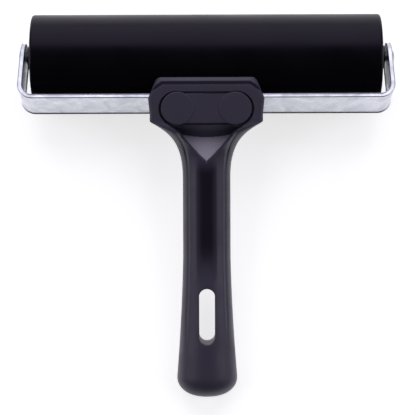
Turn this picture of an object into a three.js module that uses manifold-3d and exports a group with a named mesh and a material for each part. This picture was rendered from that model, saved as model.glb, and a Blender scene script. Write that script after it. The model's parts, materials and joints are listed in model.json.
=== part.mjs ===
// A six-inch printmaking brayer: a rubber roller that spins on a riveted axle in a bent strip frame,
// with a moulded handle screwed to the frame's crossbar. Millimetres, +Z up, lying on roller and butt.
//
// In the handle's directions +X runs along the axle, +Y along the grip towards the roller, and +Z out of
// the head's flat top plate. The roller, axle and strip are drawn from the axle's centre; the strip and
// its screws are drawn in the bracket's own directions, tipped about X so that -Y runs square into the
// crossbar. The handle and its insert are drawn from the middle of the crossbar's outer face. At the end
// the whole is tipped until the roller and the butt touch one level surface.

import * as THREE from 'three';
import { mergeVertices } from 'three/addons/utils/BufferGeometryUtils.js';
import Module from 'manifold-3d';

// ---- Fits --------------------------------------------------------------------------------------
const SEAT_GAP = 0.3; // between pieces that rest on, or are let into, each other
const RUNNING_GAP = 0.06; // radial, between the axle and what turns on it
const END_FLOAT = 0.15; // along the axle, between a bush's hub and its washer
const ROLLER_CLEARANCE = 2.0; // from the rubber to the crossbar
const HEAD_CLEARANCE = 2.1; // from the rubber to the hollowed front of the head
const CUT_OVERRUN = 5; // how far a cutting tool runs past the face that it opens

// ---- Roller ------------------------------------------------------------------------------------
const ROLLER_LENGTH = 150;
const ROLLER_RADIUS = 18.5;
const RUBBER_WALL = 6;
const RUBBER_EDGE_RADIUS = 1.2;
const CORE_WALL = 4.6;
const BUSH_DEPTH = 14; // how far an end bush reaches into the core
const HUB_RADIUS = 4.6;
const HUB_LENGTH = 1.0; // the hub's stand-out from the roller's end
const WASHER_RADIUS = 5.0;
const WASHER_THICKNESS = 0.8;

// ---- Axle --------------------------------------------------------------------------------------
const AXLE_RADIUS = 3.0;
const SPIGOT_RADIUS = 2.3; // the turned-down ends that pass through the arms
const RIVET_RADIUS = 3.2; // the peened right end
const RIVET_HEIGHT = 1.5;
const HEAD_RADIUS = 3.6; // the flatter left end
const HEAD_HEIGHT = 0.8;
const HEAD_FLAT_RADIUS = 2.5; // the flat at its middle, inside the chamfer

// ---- Strip frame -------------------------------------------------------------------------------
const STRIP_WIDTH = 19;
const STRIP_THICKNESS = 2.0;
const STRIP_EDGE_RADIUS = 0.35;
const ARM_GAP = 2.6; // from the rubber's end to the arm, on the axle's line
const ARM_LEAN = THREE.MathUtils.degToRad(3.1); // inwards, towards the tips
const ARM_TIP_REACH = 5.0; // past the axle's centre
const ARM_TIP_RADIUS = 7.0;
const BEND_INNER_RADIUS = 4.5;
const BRACKET_TILT = THREE.MathUtils.degToRad(20.8); // the strip frame's tip from the handle

// ---- Frame screws ------------------------------------------------------------------------------
const SCREW_SPACING = 24.5;
const SCREW_RADIUS = 1.75;
const SCREW_HEAD_RADIUS = 3.2;
const SCREW_HEAD_RIM = 0.3;
const SCREW_HEAD_DEPTH = 1.6;
const SCREW_LENGTH = 9;
const SCREW_POINT = 1.6;
const SCREW_SINK = 0.1; // the head's depth below the strip's inner face

// ---- Handle head -------------------------------------------------------------------------------
const HEAD_COVER = 2.93; // from the strip's upper edge to the head's top plate
const HEAD_FLOOR = 4.1; // from the strip's lower edge to the head's underside
const HEAD_BEVEL = 1.2;
const HEAD_FRONT = { half: 20.9, y: 12.2 };
const HEAD_SHOULDER = { half: 24.65, y: 3.1 };
const HEAD_WAIST = { half: 23.95, y: -3.7 };
const HEAD_CORNER = { half: 24.0, y: -6.9 };
const JAW_DEPTH = 2.5; // how far the head's front lip reaches down over the strip's upper edge

// ---- Disc insert -------------------------------------------------------------------------------
const DISC_SPACING = 24.5;
const DISC_RADIUS = 6.95;
const DISC_Y = -1.2;
const DISC_THICKNESS = 2.4;
const DISC_BEVEL = 0.4;
const DISC_PROUD = 0.5; // the disc faces' height above the plate
const DISC_MOAT = 0.9; // the open groove round the discs
const WEB_LENGTH = 12.4; // the web between the discs, along the handle
const PEG_RADIUS = 2.6;
const PEG_LENGTH = 4.0;
const PEG_SETBACK = 2.4; // towards the butt from the disc's centre

// ---- Grip --------------------------------------------------------------------------------------
const GRIP_AXIS_HEIGHT = -1.0; // the grip's centre line above the crossbar's middle
const GRIP_START = -5; // its front end, inside the head
const GRIP_NECK = { half: 9.95, y: -52.8 };
const GRIP_BUTT = { half: 12.7, y: -116.9 };
const GRIP_ROOT_SWELL = 0.55; // how much wider than the neck it is at its front end
const GRIP_ROOT_POWER = 2; // how late that swelling comes
const GRIP_BUTT_POWER = 1.8; // how late the swelling towards the butt comes
const BUTT_CAP_LENGTH = 8.8;
const GRIP_FLATNESS = 0.78; // thickness over width
const FLARE_THICKNESS = 14;
const FLARE_BEVEL = 2.5;
const FLARE_ROOT = 2; // how far the flare's square end reaches into the head, past its rounding
const FLARE_NECK_MARGIN = 0.15; // its stand-out from the grip's side at the neck
const FLARE_END_Y = -31;
const FLARE_PULL = { half: 16.5, y: -11 }; // what the flare's curve leans to, near the head
const FLARE_NECK_PULL_Y = -15; // and near the neck
const CHANNEL_RADIUS = 8;
const CHANNEL_DEPTH = 1.2;
const CHANNEL_START = -25;
const CHANNEL_END = -71;
const RAMP_HALF_WIDTH = 9.5;
const RAMP_START = -12;
const RAMP_APEX = -23.5;
const RAMP_DEPTH = 2.2;
const SLOT_WIDTH = 6.8;
const SLOT_START = -78.3;
const SLOT_END = -102.1;

// ---- Facets ------------------------------------------------------------------------------------
const ROLLER_FACETS = 64;
const BORE_FACETS = 32;
const GRIP_FACETS = 40;
const SMALL_FACETS = 24;
const CURVE_STEPS = 8;
const GRIP_STEPS = 14; // sections along the grip
const DOME_STEPS = 6; // along the butt's dome and the channel's round ends
const RIVET_STEPS = 4;
const EDGE_STEPS = 3; // along a rounded edge
const WELD_TOLERANCE = 1e-4;
const TIP_PASSES = 20; // repeats that settle the resting angle

// ---- Derived sizes -----------------------------------------------------------------------------
const halfRoller = ROLLER_LENGTH / 2;
const barInnerY = -(ROLLER_RADIUS + ROLLER_CLEARANCE);
const barOuterY = barInnerY - STRIP_THICKNESS;
const armInnerX = halfRoller + ARM_GAP;
const armOuterX = armInnerX + STRIP_THICKNESS / Math.cos(ARM_LEAN);
const coreRadius = ROLLER_RADIUS - RUBBER_WALL - SEAT_GAP;
const coreBore = coreRadius - CORE_WALL;
const boreRadius = AXLE_RADIUS + RUNNING_GAP;
const hubEnd = halfRoller + HUB_LENGTH;
const washerCentre = hubEnd + END_FLOAT + WASHER_THICKNESS / 2;
const crossbar = new THREE.Vector3(0, barOuterY, 0).applyAxisAngle(new THREE.Vector3(1, 0, 0), -BRACKET_TILT);
const stripHalfHeight = (STRIP_WIDTH / 2) * Math.cos(BRACKET_TILT);
const plateHeight = stripHalfHeight + HEAD_COVER;
const headUnderside = -stripHalfHeight - HEAD_FLOOR;

const wasm = await Module();
wasm.setup();

// ---- Geometry helpers --------------------------------------------------------------------------

/** The closed geometry with only its position attribute, shared corners merged and slivers dropped. */
function welded(geometry) {
  const bare = geometry.clone();
  bare.deleteAttribute('normal');
  bare.deleteAttribute('uv');
  const merged = mergeVertices(bare, WELD_TOLERANCE);
  const index = merged.getIndex().array;
  const kept = [];
  for (let i = 0; i < index.length; i += 3) {
    const [a, b, c] = [index[i], index[i + 1], index[i + 2]];
    if (a !== b && b !== c && c !== a) {
      kept.push(a, b, c);
    }
  }
  merged.setIndex(kept);
  return merged;
}

/** A geometry as a solid that can be joined and cut. */
function solid(geometry) {
  const closed = welded(geometry);
  return new wasm.Manifold(
    new wasm.Mesh({
      numProp: 3,
      vertProperties: new Float32Array(closed.getAttribute('position').array),
      triVerts: new Uint32Array(closed.getIndex().array),
    }),
  );
}

/** A solid back as a geometry. */
function geometryOf(manifold) {
  const mesh = manifold.getMesh();
  const geometry = new THREE.BufferGeometry();
  geometry.setAttribute('position', new THREE.BufferAttribute(new Float32Array(mesh.vertProperties), 3));
  geometry.setIndex(new THREE.BufferAttribute(new Uint32Array(mesh.triVerts), 1));
  return geometry;
}

/** A turned shape along X from [x, radius] pairs that start and end on the axis or close on themselves. */
function turned(pairs, facets) {
  const points = pairs.map(([x, radius]) => new THREE.Vector2(radius, x));
  return new THREE.LatheGeometry(points, facets).rotateZ(-Math.PI / 2);
}

/** A ring along X between two planes, with an outer and an inner radius. */
function ring(fromX, toX, outer, inner, facets) {
  const pairs = [
    [fromX, inner],
    [fromX, outer],
    [toX, outer],
    [toX, inner],
    [fromX, inner],
  ];
  return turned(pairs, facets);
}

/** A round bar along X, Y or Z, centred on the origin. */
function bar(axis, radius, length, facets) {
  const geometry = new THREE.CylinderGeometry(radius, radius, length, facets);
  if (axis === 'x') {
    geometry.rotateZ(-Math.PI / 2);
  }
  if (axis === 'z') {
    geometry.rotateX(Math.PI / 2);
  }
  return geometry;
}

/** A plan shape raised from one height to another, with rounded upper and lower edges. */
function raised(shape, fromZ, toZ, bevel) {
  const geometry = new THREE.ExtrudeGeometry(shape, {
    depth: toZ - fromZ - 2 * bevel,
    bevelEnabled: bevel > 0,
    bevelThickness: bevel,
    bevelSize: bevel,
    bevelOffset: -bevel,
    bevelSegments: EDGE_STEPS,
    curveSegments: CURVE_STEPS,
  });
  return geometry.translate(0, 0, fromZ + bevel);
}

/** A shape drawn in Y and Z, carried along X to a length that is centred on X = 0. */
function crossways(shape, length) {
  const geometry = new THREE.ExtrudeGeometry(shape, {
    depth: length,
    bevelEnabled: false,
    curveSegments: CURVE_STEPS,
  });
  geometry.translate(0, 0, -length / 2);
  const turn = new THREE.Matrix4().makeBasis(
    new THREE.Vector3(0, 1, 0),
    new THREE.Vector3(0, 0, 1),
    new THREE.Vector3(1, 0, 0),
  );
  return geometry.applyMatrix4(turn);
}

/** A geometry drawn in the bracket's directions, turned into the handle's. */
function fromBracket(geometry) {
  return geometry.rotateX(-BRACKET_TILT);
}

/** A cutting tool drawn from the axle's centre, as the handle sees it from the crossbar's middle. */
function fromAxle(geometry) {
  return geometry.translate(0, -crossbar.y, -crossbar.z);
}

/** A handle piece drawn from the crossbar's middle, put where the crossbar is. */
function onCrossbar(geometry) {
  return geometry.translate(0, crossbar.y, crossbar.z);
}

function material(color, roughness, metalness) {
  return new THREE.MeshStandardMaterial({ color, roughness, metalness });
}

/** A named piece; its geometry is already where it belongs. */
function piece(name, geometry, finish) {
  const mesh = new THREE.Mesh(geometry, finish);
  mesh.name = name;
  return mesh;
}

// ---- Roller ------------------------------------------------------------------------------------

/** The rubber sleeve, with its outer edges rounded. */
function rubberSleeve() {
  const bore = ROLLER_RADIUS - RUBBER_WALL;
  const corner = (x, side) => {
    const points = [];
    for (let i = 0; i <= EDGE_STEPS; i += 1) {
      const angle = (Math.PI / 2) * (i / EDGE_STEPS);
      const out = side < 0 ? Math.sin(angle) : Math.cos(angle);
      const along = side < 0 ? Math.cos(angle) : Math.sin(angle);
      points.push([
        x - side * RUBBER_EDGE_RADIUS * (1 - along),
        ROLLER_RADIUS - RUBBER_EDGE_RADIUS * (1 - out),
      ]);
    }
    return points;
  };
  const profile = [
    [-halfRoller, bore],
    ...corner(-halfRoller, -1),
    ...corner(halfRoller, 1),
    [halfRoller, bore],
    [-halfRoller, bore],
  ];
  return turned(profile, ROLLER_FACETS);
}

/** An end bush, pressed in the core: a plug, a hub that stands out, and a running bore. */
function endBush(side) {
  const plug = coreBore - SEAT_GAP;
  const inner = halfRoller - BUSH_DEPTH;
  const profile = [
    [inner, boreRadius],
    [inner, plug],
    [halfRoller, plug],
    [halfRoller, HUB_RADIUS],
    [hubEnd, HUB_RADIUS],
    [hubEnd, boreRadius],
    [inner, boreRadius],
  ];
  return mirroredTo(side, turned(profile, BORE_FACETS));
}

/** A turned piece of the right-hand end, turned round for the left-hand end. */
function mirroredTo(side, geometry) {
  return side < 0 ? geometry.rotateZ(Math.PI) : geometry;
}

function washer(side) {
  const from = washerCentre - WASHER_THICKNESS / 2;
  return mirroredTo(side, ring(from, from + WASHER_THICKNESS, WASHER_RADIUS, boreRadius, BORE_FACETS));
}

// ---- Axle --------------------------------------------------------------------------------------

/** The axle: shouldered inside each arm, headed on the left and peened to a dome on the right. */
function axleRod() {
  const leanOver = Math.tan(ARM_LEAN) * HEAD_RADIUS;
  const shoulder = armInnerX - SEAT_GAP - Math.tan(ARM_LEAN) * AXLE_RADIUS;
  const seat = armOuterX + leanOver + SEAT_GAP / 2;
  const profile = [
    [-seat - HEAD_HEIGHT, 0],
    [-seat - HEAD_HEIGHT, HEAD_FLAT_RADIUS],
    [-seat - HEAD_HEIGHT / 2, HEAD_RADIUS],
    [-seat, HEAD_RADIUS],
    [-seat, SPIGOT_RADIUS],
    [-shoulder, SPIGOT_RADIUS],
    [-shoulder, AXLE_RADIUS],
    [shoulder, AXLE_RADIUS],
    [shoulder, SPIGOT_RADIUS],
    [seat, SPIGOT_RADIUS],
  ];
  for (let i = 0; i < RIVET_STEPS; i += 1) {
    const angle = (Math.PI / 2) * (i / RIVET_STEPS);
    profile.push([seat + RIVET_HEIGHT * Math.sin(angle), RIVET_RADIUS * Math.cos(angle)]);
  }
  profile.push([seat + RIVET_HEIGHT, 0]);
  return turned(profile, BORE_FACETS);
}

// ---- Strip frame -------------------------------------------------------------------------------

/** The strip's edge-on outline in the bracket's directions: a crossbar and two arms that lean inwards. */
function stripOutline() {
  const outerRadius = BEND_INNER_RADIUS + STRIP_THICKNESS;
  const bendY = barInnerY + BEND_INNER_RADIUS;
  const bendX = armInnerX - bendY * Math.tan(ARM_LEAN) - BEND_INNER_RADIUS / Math.cos(ARM_LEAN);
  const tipInnerX = armInnerX - ARM_TIP_REACH * Math.tan(ARM_LEAN);
  const tipOuterX = armOuterX - ARM_TIP_REACH * Math.tan(ARM_LEAN);
  const down = -Math.PI / 2;
  const right = ARM_LEAN;
  const left = Math.PI - ARM_LEAN;
  const shape = new THREE.Shape();
  shape.moveTo(-bendX, barOuterY);
  shape.lineTo(bendX, barOuterY);
  shape.absarc(bendX, bendY, outerRadius, down, right, false);
  shape.lineTo(tipOuterX, ARM_TIP_REACH);
  shape.lineTo(tipInnerX, ARM_TIP_REACH);
  shape.absarc(bendX, bendY, BEND_INNER_RADIUS, right, down, true);
  shape.absarc(-bendX, bendY, BEND_INNER_RADIUS, down, left, true);
  shape.lineTo(-tipInnerX, ARM_TIP_REACH);
  shape.lineTo(-tipOuterX, ARM_TIP_REACH);
  shape.absarc(-bendX, bendY, outerRadius, left, 3 * Math.PI / 2, false);
  return shape;
}

/** The strip seen from its end, with the arm tips' rounded corners, as a bar across the whole frame. */
function tipRounder() {
  const half = STRIP_WIDTH / 2;
  const back = barOuterY - CUT_OVERRUN;
  const cornerY = ARM_TIP_REACH - ARM_TIP_RADIUS;
  const cornerZ = half - ARM_TIP_RADIUS;
  const shape = new THREE.Shape();
  shape.moveTo(back, -half - CUT_OVERRUN);
  shape.lineTo(cornerY, -half - CUT_OVERRUN);
  shape.lineTo(cornerY, -half);
  shape.absarc(cornerY, -cornerZ, ARM_TIP_RADIUS, -Math.PI / 2, 0, false);
  shape.absarc(cornerY, cornerZ, ARM_TIP_RADIUS, 0, Math.PI / 2, false);
  shape.lineTo(cornerY, half + CUT_OVERRUN);
  shape.lineTo(back, half + CUT_OVERRUN);
  shape.closePath();
  return crossways(shape, 2 * (armOuterX + CUT_OVERRUN));
}

/** A countersunk frame screw along the bracket's -Y, or the hole that clears it by a gap. */
function frameScrew(side, gap) {
  const shank = SCREW_RADIUS + gap;
  const head = SCREW_HEAD_RADIUS + gap;
  const top = gap > 0 ? -CUT_OVERRUN : SCREW_SINK;
  const profile = [
    [top, 0],
    [top, head],
    [SCREW_SINK + SCREW_HEAD_RIM, head],
    [SCREW_SINK + SCREW_HEAD_DEPTH, shank],
    [SCREW_LENGTH - SCREW_POINT + gap, shank],
    [SCREW_LENGTH + gap, 0],
  ];
  const points = profile.map(([along, radius]) => new THREE.Vector2(radius, along));
  const geometry = new THREE.LatheGeometry(points, SMALL_FACETS);
  geometry.rotateZ(Math.PI);
  return geometry.translate((side * SCREW_SPACING) / 2, barInnerY, 0);
}

/** The bent strip, with rounded tips, the axle's holes and two countersunk screw holes. */
function frameStrip() {
  const outline = raised(stripOutline(), -STRIP_WIDTH / 2, STRIP_WIDTH / 2, STRIP_EDGE_RADIUS);
  let strip = solid(outline).intersect(solid(tipRounder()));
  const across = 2 * (armOuterX + CUT_OVERRUN);
  strip = strip.subtract(solid(bar('x', SPIGOT_RADIUS + SEAT_GAP, across, SMALL_FACETS)));
  for (const side of [-1, 1]) {
    strip = strip.subtract(solid(frameScrew(side, SEAT_GAP)));
  }
  return fromBracket(geometryOf(strip));
}

// ---- Disc insert -------------------------------------------------------------------------------

/** The insert's plan: two discs and the web between them, grown by a margin. */
function discPlan(margin) {
  const centre = DISC_SPACING / 2;
  const radius = DISC_RADIUS + margin;
  const halfWeb = WEB_LENGTH / 2 + margin;
  const reach = Math.asin(halfWeb / radius);
  const shape = new THREE.Shape();
  shape.moveTo(-centre + radius * Math.cos(reach), DISC_Y - halfWeb);
  shape.lineTo(centre - radius * Math.cos(reach), DISC_Y - halfWeb);
  shape.absarc(centre, DISC_Y, radius, Math.PI + reach, 3 * Math.PI - reach, false);
  shape.lineTo(-centre + radius * Math.cos(reach), DISC_Y + halfWeb);
  shape.absarc(-centre, DISC_Y, radius, reach, 2 * Math.PI - reach, false);
  return shape;
}

/** The pegs under the discs, grown by a gap, from a height downwards. */
function pegs(top, gap) {
  return [-1, 1].map((side) => {
    const length = PEG_LENGTH + gap;
    const peg = bar('z', PEG_RADIUS + gap, length, SMALL_FACETS);
    return peg.translate((side * DISC_SPACING) / 2, DISC_Y - PEG_SETBACK, top - length / 2);
  });
}

const discTop = plateHeight + DISC_PROUD;
const discUnderside = discTop - DISC_THICKNESS;

function discInsert() {
  let insert = solid(raised(discPlan(0), discUnderside, discTop, DISC_BEVEL));
  for (const peg of pegs(discUnderside + DISC_BEVEL, 0)) {
    insert = insert.add(solid(peg));
  }
  return onCrossbar(geometryOf(insert));
}

// ---- Handle ------------------------------------------------------------------------------------

/** The head's plan: an octagon-like plate with a slight waist. */
function headPlan() {
  const side = [HEAD_FRONT, HEAD_SHOULDER, HEAD_WAIST, HEAD_CORNER];
  const shape = new THREE.Shape();
  shape.moveTo(-side[0].half, side[0].y);
  side.slice(1).forEach(({ half, y }) => shape.lineTo(-half, y));
  side.slice().reverse().forEach(({ half, y }) => shape.lineTo(half, y));
  shape.closePath();
  return shape;
}

/** The flare's plan: from the head's rear corners in to the grip's sides. */
function flarePlan() {
  const neck = GRIP_NECK.half + FLARE_NECK_MARGIN;
  const root = HEAD_CORNER.half - FLARE_BEVEL / 2;
  const inHead = HEAD_CORNER.y + FLARE_BEVEL + FLARE_ROOT;
  const shape = new THREE.Shape();
  shape.moveTo(-root, inHead);
  shape.lineTo(-root, HEAD_CORNER.y);
  shape.bezierCurveTo(-FLARE_PULL.half, FLARE_PULL.y, -neck, FLARE_NECK_PULL_Y, -neck, FLARE_END_Y);
  shape.lineTo(neck, FLARE_END_Y);
  shape.bezierCurveTo(neck, FLARE_NECK_PULL_Y, FLARE_PULL.half, FLARE_PULL.y, root, HEAD_CORNER.y);
  shape.lineTo(root, inHead);
  shape.closePath();
  return shape;
}

/** The grip's half width at a place along it, up to where the butt's round end begins. */
function gripHalfWidth(y) {
  if (y > GRIP_NECK.y) {
    const share = (y - GRIP_NECK.y) / (GRIP_START - GRIP_NECK.y);
    return GRIP_NECK.half + GRIP_ROOT_SWELL * share ** GRIP_ROOT_POWER;
  }
  const share = (GRIP_NECK.y - y) / (GRIP_NECK.y - GRIP_BUTT.y);
  return GRIP_NECK.half + (GRIP_BUTT.half - GRIP_NECK.half) * share ** GRIP_BUTT_POWER;
}

/** The grip's bare body: an oval section that swells to a domed butt. */
function gripBody() {
  const points = [new THREE.Vector2(0, GRIP_BUTT.y - BUTT_CAP_LENGTH)];
  for (let i = 1; i <= DOME_STEPS; i += 1) {
    const angle = (Math.PI / 2) * (i / DOME_STEPS);
    const y = GRIP_BUTT.y - BUTT_CAP_LENGTH * Math.cos(angle);
    points.push(new THREE.Vector2(GRIP_BUTT.half * Math.sin(angle), y));
  }
  for (let i = 1; i <= GRIP_STEPS; i += 1) {
    const y = GRIP_BUTT.y + (GRIP_START - GRIP_BUTT.y) * (i / GRIP_STEPS);
    points.push(new THREE.Vector2(gripHalfWidth(y), y));
  }
  points.push(new THREE.Vector2(0, GRIP_START));
  return new THREE.LatheGeometry(points, GRIP_FACETS)
    .scale(1, 1, GRIP_FLATNESS)
    .translate(0, 0, GRIP_AXIS_HEIGHT);
}

/** The long hollow down the grip's upper face: a round-ended bar sunk by the channel's depth. */
function channelCutter() {
  const top = GRIP_AXIS_HEIGHT + GRIP_NECK.half * GRIP_FLATNESS;
  const length = CHANNEL_START - CHANNEL_END - 2 * CHANNEL_RADIUS;
  return new THREE.CapsuleGeometry(CHANNEL_RADIUS, length, DOME_STEPS, GRIP_FACETS).translate(
    0,
    (CHANNEL_START + CHANNEL_END) / 2,
    top - CHANNEL_DEPTH + CHANNEL_RADIUS,
  );
}

/** The three-cornered thumb rest between the head and the grip. */
function rampCutter() {
  const shape = new THREE.Shape();
  shape.moveTo(-RAMP_HALF_WIDTH, RAMP_START);
  shape.lineTo(0, RAMP_APEX);
  shape.lineTo(RAMP_HALF_WIDTH, RAMP_START);
  shape.closePath();
  const floor = GRIP_AXIS_HEIGHT + FLARE_THICKNESS / 2 - RAMP_DEPTH;
  return raised(shape, floor, plateHeight, 0);
}

/** The hang slot, cut square through the grip. */
function slotCutter() {
  const radius = SLOT_WIDTH / 2;
  const shape = new THREE.Shape();
  shape.absarc(0, SLOT_START - radius, radius, 0, Math.PI, false);
  shape.absarc(0, SLOT_END + radius, radius, Math.PI, 2 * Math.PI, false);
  const reach = GRIP_BUTT.half + CUT_OVERRUN;
  return raised(shape, GRIP_AXIS_HEIGHT - reach, GRIP_AXIS_HEIGHT + reach, 0);
}

/** The seat for the crossbar: a channel across the head's front, open below a short upper jaw. */
function barSeatCutters() {
  const across = 2 * (HEAD_SHOULDER.half + CUT_OVERRUN);
  const half = STRIP_WIDTH / 2 + SEAT_GAP;
  const depth = STRIP_THICKNESS + 2 * SEAT_GAP;
  const middle = (barInnerY + barOuterY) / 2;
  const channel = new THREE.BoxGeometry(across, depth, 2 * half);
  channel.translate(0, middle, 0);
  const jaw = half - JAW_DEPTH;
  const lowerMouth = new THREE.Shape();
  lowerMouth.moveTo(middle, jaw);
  lowerMouth.lineTo(middle, -half + SEAT_GAP);
  lowerMouth.lineTo(barInnerY + SEAT_GAP, -half + SEAT_GAP);
  lowerMouth.lineTo(barInnerY + SEAT_GAP, -STRIP_WIDTH);
  lowerMouth.lineTo(0, -STRIP_WIDTH);
  lowerMouth.lineTo(0, jaw);
  lowerMouth.closePath();
  const mouth = crossways(lowerMouth, across);
  return [channel, mouth].map((tool) => fromAxle(fromBracket(tool)));
}

/** The one-piece moulding: head, flare and grip. */
function handle() {
  const flareTop = GRIP_AXIS_HEIGHT + FLARE_THICKNESS / 2;
  const across = 2 * (HEAD_SHOULDER.half + CUT_OVERRUN);
  let body = solid(raised(headPlan(), headUnderside, plateHeight, HEAD_BEVEL))
    .add(solid(raised(flarePlan(), flareTop - FLARE_THICKNESS, flareTop, FLARE_BEVEL)))
    .add(solid(gripBody()));
  const pocketFloor = discUnderside - SEAT_GAP;
  const cutters = [
    fromAxle(bar('x', ROLLER_RADIUS + HEAD_CLEARANCE, across, ROLLER_FACETS)),
    ...barSeatCutters(),
    raised(discPlan(DISC_MOAT), pocketFloor, plateHeight + CUT_OVERRUN, 0),
    ...pegs(pocketFloor + DISC_BEVEL, SEAT_GAP),
    fromAxle(fromBracket(frameScrew(-1, SEAT_GAP))),
    fromAxle(fromBracket(frameScrew(1, SEAT_GAP))),
    channelCutter(),
    rampCutter(),
    slotCutter(),
  ];
  for (const cutter of cutters) {
    body = body.subtract(solid(cutter));
  }
  return onCrossbar(geometryOf(body));
}

// ---- Finishes ----------------------------------------------------------------------------------
const RUBBER = () => material(0x242229, 0.55, 0);
const MOULDED = () => material(0x37353f, 0.45, 0);
const ZINC = () => material(0xc9ccd2, 0.38, 0.9);
const STEEL = () => material(0xa9abb0, 0.35, 0.95);
const BUSHING = () => material(0x1d1c20, 0.6, 0);
const CORE = () => material(0x6f6a62, 0.7, 0);

// ---- Assembly ----------------------------------------------------------------------------------
const brayer = new THREE.Group();
brayer.add(
  piece('rubber_sleeve', rubberSleeve(), RUBBER()),
  piece('roller_core', ring(-halfRoller, halfRoller, coreRadius, coreBore, ROLLER_FACETS), CORE()),
  piece('left_bush', endBush(-1), BUSHING()),
  piece('right_bush', endBush(1), BUSHING()),
  piece('left_spacer_washer', washer(-1), BUSHING()),
  piece('right_spacer_washer', washer(1), BUSHING()),
  piece('axle_rod', axleRod(), STEEL()),
  piece('strip_frame', frameStrip(), ZINC()),
  piece('left_frame_screw', fromBracket(frameScrew(-1, 0)), STEEL()),
  piece('right_frame_screw', fromBracket(frameScrew(1, 0)), STEEL()),
  piece('disc_insert', discInsert(), MOULDED()),
  piece('handle', handle(), MOULDED()),
);

// ---- Resting pose ------------------------------------------------------------------------------

/** How far the handle tips, butt down, for the roller and the domed butt to touch one level. */
function restingTip() {
  const buttY = crossbar.y + GRIP_BUTT.y;
  const buttZ = crossbar.z + GRIP_AXIS_HEIGHT;
  const reach = Math.hypot(buttY, buttZ);
  const rise = Math.atan2(buttZ, -buttY);
  const buttHalf = GRIP_BUTT.half * GRIP_FLATNESS;
  let tip = 0;
  for (let i = 0; i < TIP_PASSES; i += 1) {
    const support = Math.hypot(BUTT_CAP_LENGTH * Math.sin(tip), buttHalf * Math.cos(tip));
    tip = rise + Math.asin((ROLLER_RADIUS - support) / reach);
  }
  return tip;
}

// The origin ends up at the middle of the lying object's footprint, on the surface it lies on.
brayer.rotation.x = restingTip();
brayer.updateMatrixWorld(true);
const extent = new THREE.Box3().setFromObject(brayer, true);
const middle = extent.getCenter(new THREE.Vector3());
brayer.position.set(-middle.x, -middle.y, -extent.min.z);

const resting = new THREE.Group();
resting.add(brayer);

export default resting;
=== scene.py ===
"""Looks of a six-inch printmaking brayer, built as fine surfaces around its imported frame.

Shapes are worked out in millimetres in a sub-assembly's own directions, with the axle's centre as zero:
+X runs along the axle, +Y from the grip towards the roller and +Z out of the head's plate. A Pose turns
them into the frame's directions, and install() puts them into Blender in metres.
"""
import json
import logging
import math
from dataclasses import dataclass
from enum import Enum

import bmesh
import bpy
import numpy as np
from bpy.types import Material, Node, NodeSocket, NodeTree, Object
from mathutils import Matrix, Vector


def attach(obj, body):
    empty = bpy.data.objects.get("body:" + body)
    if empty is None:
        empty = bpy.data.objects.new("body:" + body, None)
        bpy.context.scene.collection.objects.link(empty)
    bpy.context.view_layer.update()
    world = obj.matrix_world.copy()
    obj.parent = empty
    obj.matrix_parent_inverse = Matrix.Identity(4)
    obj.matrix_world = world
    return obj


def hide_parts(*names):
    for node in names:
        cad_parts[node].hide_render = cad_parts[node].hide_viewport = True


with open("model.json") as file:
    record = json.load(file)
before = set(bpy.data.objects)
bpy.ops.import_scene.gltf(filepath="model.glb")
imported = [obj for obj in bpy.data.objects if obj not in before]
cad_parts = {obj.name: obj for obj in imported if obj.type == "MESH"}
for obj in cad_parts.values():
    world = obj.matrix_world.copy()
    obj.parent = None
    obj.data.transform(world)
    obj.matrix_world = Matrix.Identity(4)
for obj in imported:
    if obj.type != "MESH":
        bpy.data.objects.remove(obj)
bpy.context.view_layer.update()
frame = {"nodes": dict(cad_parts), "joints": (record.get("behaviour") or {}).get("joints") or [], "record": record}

Pair = tuple[float, float]
Triple = tuple[float, float, float]
METRES = 0.001  # metres in a millimetre
FLAT_AREA = 3.0  # square millimetres from which a many-sided face is a flat one
NEAR_AXIS = 0.05  # millimetres; the radius at which a turned piece's end is capped
LEAST = 0.1  # millimetres; the least size that another is divided by
OVERSHOOT = 1.0  # millimetres that a cutter runs past what it cuts
ROUND_STEPS = 6  # stretches or points along a visible edge's rounding
EASE_LIMIT = 0.4  # the most of a side that one corner's easing takes
HALF_PAIR = 24.5 / 2  # millimetres from the middle to each disc, peg and screw
BRACKET_TILT = math.radians(20.8)  # of the strip frame to the handle
COLOURS = {"data_type": "RGBA"}
MULTIPLY_ADD = {"operation": "MULTIPLY_ADD"}
MIDDLE = {"From_Min": 0.3, "From_Max": 0.7}  # where nearly all of a noise's values lie
LOG = logging.getLogger("brayer")


class Body(Enum):
    """The moving bodies that pieces ride on."""

    FRAME = "frame"
    ROLLER = "roller"
    LEFT_WASHER = "left_washer"
    RIGHT_WASHER = "right_washer"


class End(Enum):
    """The two ends of the roller, as signs along X."""

    LEFT = -1
    RIGHT = 1

    @property
    def side(self) -> str:
        """The end's name in small letters."""
        return self.name.lower()


@dataclass(frozen=True)
class Role:
    """What a piece stands for: its body, the CAD node that it replaces and its material slot.

    Edges that fold by more than the crease angle, in degrees, are shaded as edges.
    """

    body: Body
    node: str
    slot: str
    crease: float = 32.0


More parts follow.
